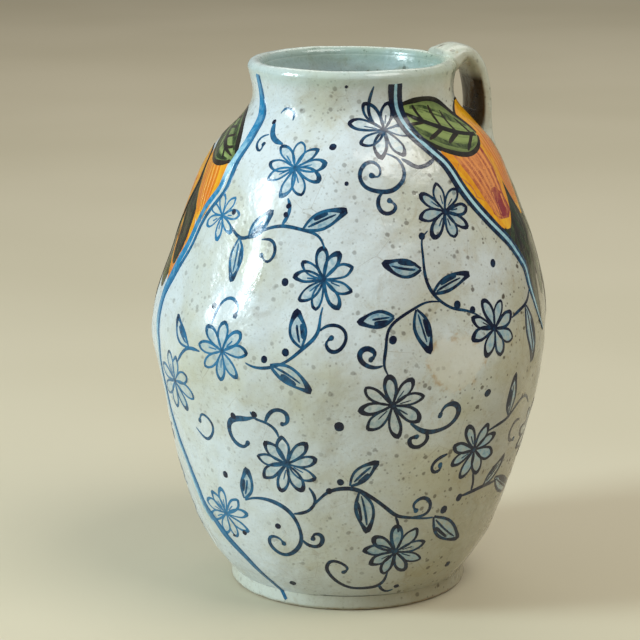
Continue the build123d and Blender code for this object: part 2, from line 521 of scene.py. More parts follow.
BODY_COLOURS = (209, 219, 222), (193, 195, 176), (164, 152, 118)
PATCH_CENTRE = on_skin(-81.5, up_wall(110.0), 0.0)
BODY_GLAZE = body_glaze()
HANDLE_GLAZE = handle_glaze()
FOOT_GLAZE = foot_glaze()
BARE_CLAY = bare_clay()
COBALT = paint("cobalt_paint", (38, 116, 160), (2, 18, 48), 0.25)
BRIGHT_BLUE = paint("bright_blue_paint", (176, 218, 228), (10, 122, 170), 0.3)
BLUE_WASH = wash("pale_blue_wash", (150, 180, 192), (66, 122, 158))
YELLOW = paint("yellow_paint", (240, 184, 30), (214, 118, 8), 0.5)
ROSE = paint("rose_paint", (231, 150, 80), (140, 34, 44), 0.2)
GREEN = paint("green_paint", (138, 158, 92), (22, 46, 16), 0.5)
UMBER = paint("brown_paint", (84, 62, 26), (12, 14, 10), 0.3)


# ---------------------------------------------------------------- the clay pieces

def arc(centre, radius, start, end, steps):
    """Points round part of a circle."""
    turn = np.radians(np.linspace(start, end, steps))
    return np.stack([centre[0] + radius * np.cos(turn), centre[1] + radius * np.sin(turn)], axis=1)


LIP_ROUND = WALL_AT_LIP / 2
LIP_CENTRE = (LIP_RADIUS - LIP_ROUND, LIP_HEIGHT - LIP_ROUND)

outside = resample(SKIN, 1.4)
wall = np.linspace(WALL_AT_FOOT, WALL_AT_LIP, len(SKIN))[:, None]
inner_skin = SKIN - SKIN_NORMAL * wall
inside = resample(inner_skin[inner_skin[:, 1] > FLOOR_TOP][::-1], 1.6)
MID_WALL = SKIN - SKIN_NORMAL * wall / 2
SECTION = np.concatenate([outside[:-1], arc(LIP_CENTRE, LIP_ROUND, 0, 180, 19), inside[1:]])
WALL_RINGS, WALL_NORMALS = spun(SECTION)
TOP_ROW = int(np.argmax(SECTION[:, 1]))


def row_at(height, inner=False):
    """The wall's row nearest a height, on its outer or its inner skin."""
    heights = SECTION[:, 1].copy()
    heights[: TOP_ROW if inner else 0] = np.inf
    heights[len(SECTION) if inner else TOP_ROW :] = np.inf
    return int(np.argmin(np.abs(heights - height)))


def wall_run(first, last):
    """The wall's rings and their normals from one row to another."""
    return WALL_RINGS[first : last + 1], WALL_NORMALS[first : last + 1]


def lap(radius, height, upper):
    """The hidden step of a joint: out along it for the piece below, back for the one above."""
    steps = [(radius, height + SEAM_LAP), (radius, height)]
    return spun(steps[::-1] if upper else steps)


def joint_rows(height):
    """The wall's rows where the joint at a height comes out, outside and inside."""
    return row_at(height + SEAM_LAP), row_at(height, inner=True)


BELLY_STEP, NECK_STEP, LIP_STEP = 79.0, 44.6, 39.0
belly_out, belly_in = joint_rows(BELLY_SEAM)
neck_out, neck_in = joint_rows(NECK_SEAM)
lip_out, lip_in = joint_rows(LIP_SEAM)
last_row = len(SECTION) - 1

# Each wall piece's name, its clay node, and its skins and joints in order round its section
wall_pieces = [
    ("wall_lower", "lower_body", [
        wall_run(0, belly_out), lap(BELLY_STEP, BELLY_SEAM, False), wall_run(belly_in, last_row),
    ]),
    ("wall_upper", "upper_body", [
        wall_run(belly_out, neck_out), lap(NECK_STEP, NECK_SEAM, False),
        wall_run(neck_in, belly_in), lap(BELLY_STEP, BELLY_SEAM, True),
    ]),
    ("neck", "neck_collar", [
        wall_run(neck_out, lip_out), lap(LIP_STEP, LIP_SEAM, False),
        wall_run(lip_in, neck_in), lap(NECK_STEP, NECK_SEAM, True),
    ]),
    ("rim", "rim_roll", [wall_run(lip_out, lip_in), lap(LIP_STEP, LIP_SEAM, True)]),
]
for name, node, runs in wall_pieces:
    ring_piece(name, runs, BODY_GLAZE, node)

FOOT_EDGE = 1.8
foot_skin = np.concatenate([
    [(FOOT_BORE_RADIUS, FLOOR_UNDERSIDE), (FOOT_BORE_RADIUS, 1.6)],
    arc((FOOT_BORE_RADIUS + 1.0, 1.0), 1.0, 180, 270, 6),
    arc((FOOT_RADIUS - FOOT_EDGE, FOOT_EDGE), FOOT_EDGE, 270, 360, 9),
    FOOT_SIDE[1:],
    [(FOOT_WAIST_RADIUS, FOOT_HEIGHT)],
])
foot_joint = np.array([(FLOOR_RADIUS, FOOT_HEIGHT), (FLOOR_RADIUS, FLOOR_UNDERSIDE + 0.01)])
ring_piece("foot", [spun(foot_skin), spun(foot_joint)], FOOT_GLAZE, "foot_ring")


def floor_disc():
    """The floor: a slab with a faint spiral of finger grooves inside, and a plain underside."""
    spiral = np.linspace(0.6, FLOOR_RADIUS - 0.6, 40)
    top = np.stack([spiral[::-1], FLOOR_TOP - 0.5 + 0.3 * np.sin(spiral[::-1] * 0.9)], axis=1)
    under = np.stack([spiral, FLOOR_UNDERSIDE + 0.0 * spiral], axis=1)
    edge = [(FLOOR_RADIUS, FLOOR_UNDERSIDE + 0.6), (FLOOR_RADIUS, FLOOR_TOP - 0.8)]
    rings, _ = spun(np.concatenate([under, edge, top]))
    faces = capped_faces(len(rings), TURN_STEPS)
    add_piece("floor", rings.reshape(-1, 3), faces, BARE_CLAY, ["floor_disc"])


floor_disc()


# ---------------------------------------------------------------- the handle

STRAP_PATH = [
    (38.5, 213), (42.6, 218.6), (47.4, 220.6), (52, 217.4), (54.8, 209.5), (55.8, 199), (54.4, 183),
]
LOWER_ROOT = (51.6, 176.5)
STRAP_HALF_WIDTH = 11.0
STRAP_HALF_THICKNESS = 3.5
STRAP_LINE = smooth_line(STRAP_PATH, 0.8)
STRAP_STEPS = 64

# Half the wall's thickness behind the handle, how near the pitcher's axis the handle's clay may
# come at the mouth, and how far outside the wall's inner skin it stays
HALF_WALL = 3.15
MOUTH_CLEAR = 38.4
WALL_CLEAR = 1.2

# Where along the strap the clay smeared round its upper end stops and round its lower one starts
UPPER_LUTING_END = 0.34
LOWER_LUTING_START = 0.74


def clay_depth(points):
    """How far outside the wall's clay the points are, below 0 inside it."""
    flat = np.stack([np.hypot(points[..., 0], points[..., 1]), points[..., 2]], axis=-1)
    apart = np.linalg.norm(flat[..., None, :] - MID_WALL[::4], axis=-1)
    return apart.min(axis=-1) - HALF_WALL


def strap_rings(line, grow, flare, rooted=0.0):
    """Rings round the strap: grow is how proud of it they stand, and flare how far they spread
    where they meet the wall. Over the rooted first millimetres they swell from a thin core.
    None reaches through the wall into the pitcher."""
    along = np.gradient(line, axis=0)
    along /= np.linalg.norm(along, axis=1)[:, None]
    turn = np.arange(STRAP_STEPS) * 2 * math.pi / STRAP_STEPS
    cos, sin = np.cos(turn), np.sin(turn)
    out = np.stack([cos / STRAP_HALF_WIDTH, sin / STRAP_HALF_THICKNESS], axis=1)
    out /= np.linalg.norm(out, axis=1)[:, None]
    section = np.stack([
        STRAP_HALF_WIDTH * np.sign(cos) * np.abs(cos) ** 0.7,
        STRAP_HALF_THICKNESS * np.sign(sin) * np.abs(sin) ** 0.8,
    ], axis=1)
    across = np.stack([along[:, 1], -along[:, 0]], axis=1)
    swell = np.clip(run_of(line) / rooted, 0, 1) ** 0.6 if rooted else np.ones(len(line))
    swell = np.stack([0.72 + 0.28 * swell, 0.25 + 0.75 * swell], axis=1)[:, None, :]

    def ring(spread):
        sized = (section + out * spread[..., None]) * swell
        wide, thick = sized[..., 0], sized[..., 1]
        x = line[:, :1] + across[:, :1] * thick
        z = line[:, 1:] + across[:, 1:] * thick
        return np.stack([x, wide, z], axis=-1)

    proud = np.broadcast_to(grow[:, None], (len(line), STRAP_STEPS))
    spread = flare * np.exp(-np.clip(clay_depth(ring(proud)), 0.0, None) / 2.8)
    rings = ring(proud + spread)
    away = np.hypot(rings[..., 0], rings[..., 1])
    least = np.interp(rings[..., 2], inner_skin[:, 1], inner_skin[:, 0] + WALL_CLEAR)
    least = np.where(rings[..., 2] > LIP_SEAM, np.maximum(least, MOUTH_CLEAR), least)
    rings[..., :2] *= np.maximum(least / away, 1.0)[..., None]
    return rings


def tube_piece(name, rings, node):
    """A closed piece of the handle, which leans with the pot."""
    points = settle(rings, np.zeros_like(rings)).reshape(-1, 3)
    faces = capped_faces(len(rings), STRAP_STEPS, outward=False)
    add_piece(name, points, faces, HANDLE_GLAZE, [node])


strap_run = len(STRAP_LINE)
tube_piece("strap", strap_rings(STRAP_LINE[1:-3], np.zeros(strap_run - 4), 0.0, 5.0), "handle_strap")
upper_end = STRAP_LINE[: int(strap_run * UPPER_LUTING_END)]
upper_rings = strap_rings(upper_end, np.linspace(0.45, -0.25, len(upper_end)), 1.8, 6.0)
tube_piece("upper_luting", upper_rings, "handle_upper_luting")
rooted_line = smooth_line(STRAP_PATH + [LOWER_ROOT], 0.8)
lower_end = rooted_line[int(strap_run * LOWER_LUTING_START) :]
lower_rings = strap_rings(lower_end, np.linspace(-0.25, 0.3, len(lower_end)), 2.4)
tube_piece("lower_luting", lower_rings, "handle_lower_luting")


# ---------------------------------------------------------------- where each paint may reach

# The line round the garland on the left, from the neck to the foot
LEFT_BORDER = [
    (-174, 216), (-172.5, 206), (-168, 201), (-165.5, 195), (-164.3, 190), (-165, 183), (-164.6, 174),
    (-168, 167), (-172.5, 159), (-174.5, 152), (-177, 145), (-180, 138), (-183, 130), (-184.5, 122),
    (-184.5, 112), (-183, 99.6), (-182, 85), (-181, 73), (-178.5, 62), (-174, 50), (-170, 41),
    (-165, 34), (-160, 27), (-155, 20), (-150, 12.5), (-146, 7), (-142.5, 2.4),
]

# The double line round the garland under the handle, from the neck to its lowest leaf
RIGHT_BORDER = [
    (-88, 215), (-87.5, 207), (-85.5, 200), (-80, 191.5), (-74.5, 185.5), (-72.3, 181), (-70, 175),
    (-65, 167), (-59.5, 159.5), (-55, 154), (-51.5, 149.5), (-48.5, 144), (-46.3, 139), (-45.6, 133),
    (-44, 126), (-41.5, 119), (-38, 112),
]

# The angle of the side garland's middle, and an angle past any on the pot
SIDE_GARLAND = -205.0
NO_BORDER = 999.0

# How far round from its thin border line the side garland's paint stops, in degrees
GARLAND_GAP = 2.0

# How much is left of a mark's reach past a border, where it ends under the border's own stroke
PAST_BORDER = 0.02


def border_angle(border, run):
    """A border's angle at each distance up the wall, or NO_BORDER below its end."""
    places = np.array(border[::-1])
    angle = np.interp(run, up_wall(places[:, 1]), places[:, 0])
    return np.where(run < up_wall(places[0, 1]), NO_BORDER, angle)


def panel_sides(layer, run):
    """The angles that a layer's paint stays between: its borders, or nothing."""
    left, right = border_angle(LEFT_BORDER, run), border_angle(RIGHT_BORDER, run)
    open_right = right == NO_BORDER
    if layer.startswith("front_"):
        return left, right
    if layer.startswith("back_"):
        return np.where(open_right, -NO_BORDER, -right), 2 * SIDE_GARLAND + 360 - left
    if layer.startswith("handle_"):
        return np.where(open_right, -NO_BORDER, right), np.where(open_right, NO_BORDER, -right)
    if layer.startswith("garland_"):
        inner = left - GARLAND_GAP
        return 2 * SIDE_GARLAND - inner, inner
    return np.full_like(run, -NO_BORDER), np.full_like(run, NO_BORDER)


# ---------------------------------------------------------------- brush strokes

# How wide a stroke of width 1 is, and how far apart the rows of points along one are
BRUSH = 1.5
SPACING = 0.8

# How far above the skin each kind of mark is, and how far its edges and underside are below
WASH_LIFT = 0.035
INK_LIFT = 0.07
DAB_LIFT = 0.09
SUNK_EDGE = -0.03
PAINT_DEPTH = 0.3

# A stroke's half width at its very ends
LEAST_HALF_WIDTH = 0.12
layers = {}


def local(centre, points):
    """Turns points in millimetres right and up from a centre into (angle, run) places."""
    angle, height = centre
    points = np.asarray(points, float)
    run = up_wall(height) + points[:, 1]
    return np.stack([angle + np.degrees(points[:, 0] / radius_at(run)), run], axis=1)


def from_centre(centre, place):
    """Where an (angle, height) place is, in millimetres right and up from another."""
    run = up_wall(place[1])
    return math.radians(place[0] - centre[0]) * radius_at(run), run - up_wall(centre[1])


def up_from(places):
    """Turns (angle, height) places into (angle, run) ones."""
    places = np.asarray(places, float)
    return np.stack([places[:, 0], up_wall(places[:, 1])], axis=1)


def smooth_places(places, spacing=SPACING, smooth=True):
    """A smooth line of (angle, run) places through the given ones, or one straight from each to
    the next."""
    scale = np.array([math.radians(radius_at(places[:, 1]).mean()), 1.0])
    draw = smooth_line if smooth and len(places) > 2 else resample
    return draw(places * scale, spacing) / scale


def aside(places, distance):
    """A line of (angle, run) places moved to its right by a distance in millimetres. Columns of
    distances give columns of lines."""
    distance = np.asarray(distance, float)
    radius = radius_at(places[:, 1])
    flat = np.stack([np.radians(places[:, 0]) * radius.mean(), places[:, 1]], axis=1)
    along = np.gradient(flat, axis=0)
    along /= np.linalg.norm(along, axis=1)[:, None] + 1e-9
    across, back = np.degrees(along[:, 1] / radius), along[:, 0]
    if distance.ndim == 2:
        places, across, back = places[:, None], across[:, None], back[:, None]
    return np.stack([places[..., 0] + across * distance, places[..., 1] - back * distance], axis=-1)


def skin_normals(angle, run):
    """Which way the uneven skin faces at each place."""
    right = on_skin(angle + 0.5, run, 0.0) - on_skin(angle - 0.5, run, 0.0)
    up = on_skin(angle, run + 0.5, 0.0) - on_skin(angle, run - 0.5, 0.0)
    normals = np.cross(right, up)
    return normals / np.linalg.norm(normals, axis=-1)[..., None]


def strip_faces(start, rows, columns):
    """The faces of a closed strip, whose grid of top points is followed by its underside's."""
    size = rows * columns
    faces = []
    for i in range(rows - 1):
        here = start + i * columns
        after = here + columns
        last, after_last = after - 1, after + columns - 1
        for k in range(columns - 1):
            a, b, c, d = here + k, here + k + 1, after + k + 1, after + k
            faces += [(a, b, c, d), (size + a, size + d, size + c, size + b)]
        faces.append((here, after, size + after, size + here))
        faces.append((after_last, last, size + last, size + after_last))
    end = start + (rows - 1) * columns
    for k in range(columns - 1):
        a, b = start + k, end + k
        faces += [(a + 1, a, size + a, size + a + 1), (b, b + 1, size + b + 1, size + b)]
    return faces


def lay(layer, places, half_width, lift, load, columns=5):
    """Lays one mark: a closed strip along places of (angle, run), as wide each side as
    half_width says, its top lift above the skin and its edges and underside in the clay."""
    across = np.linspace(-1, 1, columns)
    shoulder = 0.97 if columns > 7 else 0.9
    across[[1, -2]] = -shoulder, shoulder
    reach = half_width[:, None] * across
    angle, run = np.moveaxis(aside(places, reach), -1, 0)
    low, high = panel_sides(layer, run)
    angle = np.where(angle < low, low + PAST_BORDER * (angle - low), angle)
    angle = np.where(angle > high, high + PAST_BORDER * (angle - high), angle)
    top_lift = np.where(np.abs(across) > 0.99, SUNK_EDGE, lift)[None, :] + 0 * reach
    top_lift[[0, -1]] = SUNK_EDGE
    top = on_skin(angle, run, top_lift)
    under = on_skin(angle, run, np.full_like(top_lift, -PAINT_DEPTH))
    normals = skin_normals(angle, run).reshape(-1, 3)
    rows = len(places)
    loads = (np.zeros((rows, columns)) + np.reshape(load, (-1, 1))).ravel()
    edges = (np.abs(across)[None, :] + np.zeros((rows, 1))).ravel()
    group = layers.setdefault(layer, {key: [] for key in ("points", "normals", "load", "edge", "faces")})
    group["faces"] += strip_faces(sum(map(len, group["points"])), rows, columns)
    group["points"] += [top.reshape(-1, 3), under.reshape(-1, 3)]
    group["normals"] += [normals, normals]
    group["load"] += [loads, loads]
    group["edge"] += [edges, edges]


def taper(count, start, end):
    """A brush line's width: thin where it starts and lifts off, a little uneven between."""
    t = np.linspace(0, 1, count)
    width = np.minimum(1.0, np.minimum(start + 3 * t, end + 3 * (1 - t)))
    wobble = np.sin(t * count * 0.23 + rng.uniform(0, 6)) + np.sin(t * count * 0.11 + rng.uniform(0, 6))
    return width * (1 + 0.09 * wobble)


def paler(angle):
    """How much paler the ink is where the front's vines run out to the left, and darker to the right:
    partly less ink from the brush, partly painted light on the lit left and painted shade on the right.
    """
    return float(np.interp(angle, [-175, -140, -115, -60], [0.4, 0.28, 0.0, -0.25]))


def stroke(layer, places, width, load, start=0.4, end=0.4, bulb=0.0, lift=INK_LIFT, columns=5):
    """One stroke through (angle, run) places. bulb thickens its far end."""
    line = smooth_places(places)
    half = 0.5 * BRUSH * width * taper(len(line), start, end)
    if bulb:
        left = SPACING * np.arange(len(line))[::-1]
        half += bulb * np.sqrt(np.clip(1 - ((left - bulb) / (1.4 * bulb)) ** 2, 0, 1))
    half[0] = half[-1] = LEAST_HALF_WIDTH
    load = load + rng.uniform(-0.1, 0.1) + 0.2 * np.sin(np.linspace(0, 3, len(line)))
    # Painted light and shade as well as ink: vine ink is paler on the lit left and darker on the right.
    if layer.endswith("ink"):
        load -= paler(places[:, 0].mean())
    lay(layer, line, half, lift, load, columns)


def dot(layer, place, size, load=1.0, lean=70):
    """A dab of thick paint, a little longer than it is wide."""
    t = np.linspace(-1, 1, 9)
    turn = math.radians(lean)
    line = np.stack([math.cos(turn) * t, math.sin(turn) * t], axis=1) * size * 1.15 / 2
    half = size / 2 * np.sqrt(np.clip(1 - t * t, 0.002, 1))
    lay(layer, local(place, line), half, DAB_LIFT, load)


def blade_line(base, tip, bend):
    """A petal's or leaf's middle, curved sideways by bend times its length."""
    base, tip = np.asarray(base, float), np.asarray(tip, float)
    length = np.linalg.norm(tip - base)
    t = np.linspace(0, 1, max(9, int(length / SPACING)))[:, None]
    side = np.array([tip[1] - base[1], base[0] - tip[0]])
    return base + (tip - base) * t + side * bend * 4 * t * (1 - t)


def blade_width(t, widest, point, base):
    """A blade's width from 0 to 1, widest at one place and pointed or round at each end."""
    rising = np.sin(np.clip(t / widest, 0, 1) * math.pi / 2) ** base
    falling = np.cos(np.clip((t - widest) / (1 - widest), 0, 1) * math.pi / 2) ** point
    return rising * falling


def blade_shape(centre, base, tip, half_width, bend, widest, point, round_base=1.0):
    """The places down the middle of a petal or leaf, and its half width at each."""
    middle = local(centre, blade_line(base, tip, bend))
    return middle, half_width * blade_width(np.linspace(0, 1, len(middle)), widest, point, round_base)


def fill(layer, middle, half, load, lift=WASH_LIFT, columns=7):
    """Washes a blade with colour, a little heavier towards one of its ends."""
    shade = load + 0.25 * rng.uniform(-1, 1) * (np.linspace(0, 1, len(middle)) - 0.5)
    lay(layer, middle, np.maximum(half, 0.1), lift, shade, columns)


def outline(layer, middle, half, load, width, tip_weight):
    """Draws round a blade, more heavily at its tip."""
    loop = np.concatenate([aside(middle, half), aside(middle, -half)[-2::-1]])
    loop = smooth_places(loop, 0.7, smooth=False)
    at_tip = np.exp(-((np.linspace(0, 1, len(loop)) - 0.5) / 0.09) ** 2)
    width = 0.5 * BRUSH * width * taper(len(loop), 0.7, 0.7) + tip_weight * at_tip
    lay(layer, loop, width, INK_LIFT, load + 0.4 * at_tip)


def flower(centre, radius, petals, turn, wash_load, ink_load, layer):
    """A daisy of outlined petals, each drawn a little differently."""
    for i in range(petals):
        angle = turn + (i + rng.uniform(-0.13, 0.13)) * 2 * math.pi / petals
        reach = radius * rng.uniform(0.9, 1.06)
        way = np.array([math.cos(angle), math.sin(angle)])
        half_width = rng.uniform(2.0, 2.6) * radius / 12.5
        bend, widest, point = (rng.uniform(*ends) for ends in ((-0.07, 0.07), (0.58, 0.7), (0.45, 0.95)))
        petal = blade_shape(centre, way * 0.35, way * reach, half_width, bend, widest, point)
        petal_wash = 0.8 * wash_load + rng.uniform(-0.2, 0.2)
        petal_ink = ink_load + rng.uniform(-0.15, 0.15) - paler(centre[0])
        width = (0.58 + 0.3 * ink_load) * rng.uniform(0.8, 1.15)
        tip_weight = rng.uniform(0.1, 0.55)
        fill(layer + "wash", *petal, petal_wash)
        outline(layer + "ink", *petal, petal_ink, width, tip_weight)
        if rng.uniform() < 0.4:
            stroke(layer + "ink", local(centre, [way * 2.4, way * (reach * 0.62)]), 0.4, ink_load - 0.3)
    dot(layer + "ink", centre, 1.7, ink_load)


def leaf(base, tip, half_width, bend, wash_load, layer):
    """A vine's leaf, with a midrib, a dark tip and one side in heavier ink."""
    end = from_centre(base, tip)
    shape = blade_shape(base, (0, 0), end, half_width, bend, 0.45, 0.95)
    fill(layer + "wash", *shape, wash_load)
    outline(layer + "ink", *shape, 0.7 - paler(base[0]), 0.9, 0.6)
    middle = local(base, blade_line((0, 0), end, bend * 0.9))
    stroke(layer + "ink", middle[2:-3:3] + rng.uniform(-0.2, 0.2), 0.7, 0.6)
    heavy = rng.choice([-1, 1]) * half_width * rng.uniform(0.5, 0.62)
    first = int(len(middle) * rng.uniform(0.15, 0.3))
    heavy_side = aside(middle, heavy)[first : -len(middle) // 4 : 2]
    stroke(layer + "ink", heavy_side, rng.uniform(0.9, 1.6), rng.uniform(0.5, 0.9))


# ---------------------------------------------------------------- the blue vines

# Flowers of the front: (angle, height), radius, petals, turn, wash, ink
FLOWERS = [
    ((-136, 184), 12.5, 9, 0.2, 0.35, 0.5),
    ((-96.5, 197.4), 13.0, 8, 0.5, 0.25, 0.7),
    ((-79.5, 167.4), 11.5, 8, 0.1, 0.45, 0.7),
    ((-120.8, 143.9), 12.0, 9, 0.35, 0.35, 0.65),
    ((-150, 113.1), 12.0, 8, 0.0, 0.5, 0.45),
    ((-67.8, 121), 12.5, 8, 0.3, 0.4, 0.8),
    ((-100, 95.3), 13.5, 8, 0.15, 0.45, 0.9),
    ((-172, 95), 12.5, 8, 0.4, 0.35, 0.6),
    ((-131, 68.9), 12.5, 9, 0.2, 0.4, 0.75),
    ((-69.5, 70.3), 12.5, 8, 0.4, 0.6, 0.85),
    ((-158, 41), 12.0, 9, 0.1, 0.1, 0.25),
    ((-93.5, 29.3), 12.5, 9, 0.3, 0.6, 0.8),
    ((-162.5, 163), 9.5, 7, 0.2, 0.05, 0.15),
]

# Leaves of the front: base, tip, half width
LEAVES = [
    ((-129, 161.7), (-115, 169.3), 3.2),
    ((-148.5, 156.7), (-141, 167.4), 2.6),
    ((-152.5, 156.4), (-151.7, 140.3), 3.2),
    ((-91, 147), (-102.7, 150), 3.3),
    ((-88, 137.4), (-75, 143.1), 2.6),
    ((-100, 129.9), (-110, 128.4), 3.0),
    ((-93.5, 132.4), (-90, 116), 3.2),
    ((-125.5, 118.1), (-127.8, 131.7), 3.2),
    ((-134.5, 110.3), (-122.8, 101), 3.2),
    ((-162.5, 111.7), (-171.5, 121.7), 2.8),
    ((-51.5, 126.7), (-47.5, 102.4), 3.2),
    ((-56.5, 81.7), (-57.5, 99.6), 2.8),
    ((-148, 50.3), (-145.5, 63.9), 2.6),
    ((-111.5, 60.3), (-103.5, 71), 2.8),
    ((-108.5, 58.1), (-105, 39.6), 3.4),
    ((-81.5, 43.9), (-66.5, 30.3), 3.8),
    ((-60, 51.7), (-51.5, 62.4), 2.6),
    ((-53, 53), (-34, 42), 3.0),
]

# Vines of the front: width, bulb at the far end, places
VINES = [
    (1.5, 0.0, [(-156.5, 199), (-154, 195), (-150, 192.6), (-145, 191.7)]),
    (0.8, 0.0, [(-154.5, 201.7), (-151, 204.1), (-146, 203.1), (-145, 199.6)]),
    (0.8, 0.4, [(-155, 194.2), (-159, 192.9), (-159.1, 190.1), (-155.7, 188.4), (-155.5, 190.8)]),
    (1.1, 0.0, [(-136, 173), (-134.5, 169.5), (-135, 166), (-136.5, 162.6)]),
    (1.0, 0.0, [(-121, 154.6), (-123.5, 159.6), (-129, 161.7), (-137, 162.4), (-145, 159),
        (-152, 156.4), (-157, 159.6), (-161, 162.4)]),
    (0.9, 0.4, [(-143, 156.7), (-139, 156.7), (-137.5, 152.4), (-139.5, 148.9), (-142, 151)]),
    (1.2, 0.6, [(-99, 189.6), (-94, 187.4), (-92.5, 183), (-94, 179.6), (-98, 176.7), (-103, 176.4),
        (-108, 178.1), (-110, 181.7), (-108.5, 185.3), (-105, 186.7), (-102, 184.6), (-103, 181.7),
        (-105.5, 182.1)]),
    (1.1, 0.5, [(-101, 176.4), (-103, 174.6), (-103.5, 171), (-101.5, 168.4), (-98.5, 168.9),
        (-97.5, 171), (-99.5, 173)]),
    (1.5, 0.0, [(-92.5, 187.6), (-89, 185.3), (-86, 184.1), (-81, 185), (-77.5, 186.7)]),
    (0.9, 0.0, [(-87, 161), (-89.5, 158.1), (-90, 152.4), (-90, 145.3), (-88.5, 138.9), (-85, 133.9),
        (-81, 131), (-77, 129.6), (-72, 126)]),
    (0.9, 0.0, [(-85.5, 134.3), (-90, 134.6), (-94, 132.7), (-97.5, 130.3), (-100.5, 127.4),
        (-102, 124), (-102.5, 118), (-102.8, 111.7), (-101.5, 107.4)]),
    (1.4, 0.5, [(-103, 111.7), (-105.5, 111), (-108.8, 113.1), (-109.5, 116.7), (-107.5, 118.4),
        (-105.5, 116.4), (-106.5, 114.1)]),
    (1.0, 0.0, [(-120.5, 133.9), (-121, 129.6), (-121.5, 123.9), (-125, 118.1), (-129, 113.1),
        (-134, 109.6), (-139, 108.9), (-142, 110.3)]),
    (1.1, 0.5, [(-121, 124.6), (-119, 126.7), (-115.5, 126.7), (-113.5, 123.1), (-115, 118.1),
        (-117.5, 117.4), (-118.8, 120.3), (-117.5, 122.4)]),
    (1.0, 0.0, [(-158, 111), (-162.5, 111.3), (-166, 108.1), (-168.5, 103.9)]),
    (1.0, 0.6, [(-155, 122.4), (-154.5, 127), (-153, 131.7), (-149.5, 133.6), (-146.5, 130.7),
        (-147, 127.4)]),
    (1.0, 0.0, [(-59.5, 123.1), (-55, 125), (-50, 127.4), (-46.5, 131.5)]),
    (1.0, 0.0, [(-133, 79.6), (-134, 83.1), (-137, 86), (-140, 87.4), (-141.2, 90.3)]),
    (1.4, 0.4, [(-137, 85.6), (-135, 90.3), (-132.5, 92), (-130, 90.3), (-130.2, 86.7), (-131.5, 86)]),
    (1.7, 0.5, [(-140, 87.8), (-143, 86.6), (-146, 86), (-149, 83.9), (-149.8, 79.6), (-148, 75.3),
        (-145, 74.1), (-143.5, 76)]),
    (1.1, 0.0, [(-124.5, 59.6), (-123, 56.7), (-122.5, 53.1), (-125, 48.9), (-130, 47)]),
    (1.2, 0.0, [(-125, 48.9), (-121, 54.6), (-117.5, 58.1), (-111.5, 59.3), (-107, 57.4), (-102, 53.1),
        (-98, 48.9), (-95, 46.4), (-90, 45), (-85, 43.9), (-81.5, 43.6)]),
    (1.2, 0.5, [(-90, 45.4), (-85, 46), (-83.8, 48.9), (-85, 52), (-88, 53.4), (-90.3, 51), (-89, 48.1)]),
    (1.0, 0.0, [(-96, 46.4), (-94.5, 42.4), (-93.8, 38.1)]),
    (1.3, 0.5, [(-148, 49.6), (-144.5, 51.3), (-140, 51.7), (-134.5, 50.3), (-130.5, 46.7),
        (-128, 40.3), (-128, 33.9), (-131, 28.9), (-135, 27), (-138.5, 28.9), (-140.2, 32.4),
        (-139, 35), (-136, 34.6), (-134.5, 32.4)]),
    (1.2, 0.5, [(-127.8, 36), (-125.5, 33.1), (-122, 32.4), (-120.2, 35.3), (-121, 38.1), (-123, 38.1),
        (-123.5, 36)]),
    (1.3, 0.5, [(-95.5, 19.6), (-96, 15.3), (-98.5, 11.7), (-104, 10.3), (-110, 10.6), (-115, 13.1),
        (-118.5, 17.4), (-119.5, 21.7), (-117.5, 25), (-114, 24.6), (-111.5, 21.7), (-113, 19.6)]),
    (1.0, 0.0, [(-98, 12.4), (-96.5, 9.6), (-93.5, 7.9), (-90.5, 8.9)]),
    (1.3, 0.6, [(-80, 71), (-83.5, 69.6), (-85.5, 66.7), (-84.5, 64.1), (-82.5, 64.6), (-82.5, 66.7)]),
    (1.0, 0.0, [(-68, 59.6), (-66.5, 55.3), (-66.5, 51)]),
    (1.1, 0.0, [(-65.5, 77.4), (-61, 79.6), (-56.5, 81.7), (-51.5, 86), (-46, 86.7), (-41, 82)]),
    (1.1, 0.0, [(-73, 50.3), (-67, 50.7), (-60, 51.3), (-54, 51), (-50, 51.5)]),
    (1.1, 0.5, [(-46, 76.7), (-50, 76.7), (-52.2, 73.1), (-50.5, 68.9), (-47, 68.1)]),
    (1.6, 0.6, [(-94.5, 87.4), (-90, 83.1), (-85, 82.4), (-80.5, 84.6), (-79, 89.6), (-81, 93.1),
        (-84, 92.4), (-85.2, 88.9)]),
    (1.4, 0.5, [(-89.5, 83.1), (-88.5, 79.6), (-90.5, 76.7), (-93.5, 77.4), (-94, 80.3), (-92, 81)]),
    (1.0, 0.5, [(-166, 76.7), (-161, 73.1), (-157.5, 76.7), (-157.5, 81), (-161, 83.6), (-163, 80.3)]),
    (0.9, 0.0, [(-100, 214.5), (-102.8, 208), (-103, 203), (-100.5, 199.5)]),
]

# Dabs of thick paint: place, size
DOTS = [
    ((-121.2, 191.7), 3.0), ((-115, 179.1), 1.7), ((-63.8, 145.3), 3.2), ((-69.5, 95.3), 3.2),
    ((-114.8, 86.3), 4.0), ((-114.5, 62.1), 2.8), ((-118, 58.1), 2.6), ((-136, 40.3), 2.6),
    ((-136, 12.1), 2.8), ((-151, 33.9), 2.4), ((-154.5, 59.6), 2.8), ((-66.2, 17.4), 2.8),
    ((-115, 214.1), 1.3), ((-132.8, 142.1), 3.0), ((-157, 31), 1.6), ((-130, 116), 3.0),
    ((-136.2, 112.4), 2.8), ((-89.5, 159.1), 2.8), ((-80.2, 132.4), 3.2), ((-75.2, 129.6), 2.8),
    ((-100.5, 121.4), 3.2), ((-155.8, 129.6), 2.4), ((-77.8, 46), 3.4), ((-72, 49.9), 3.2),
    ((-135, 170), 2.2), ((-135.5, 166.7), 2.2), ((-157.5, 165.3), 2.4), ((-140, 89), 2.6),
    ((-147.5, 86.7), 2.8), ((-89.5, 10.3), 2.4), ((-156.8, 198.6), 2.2),
]


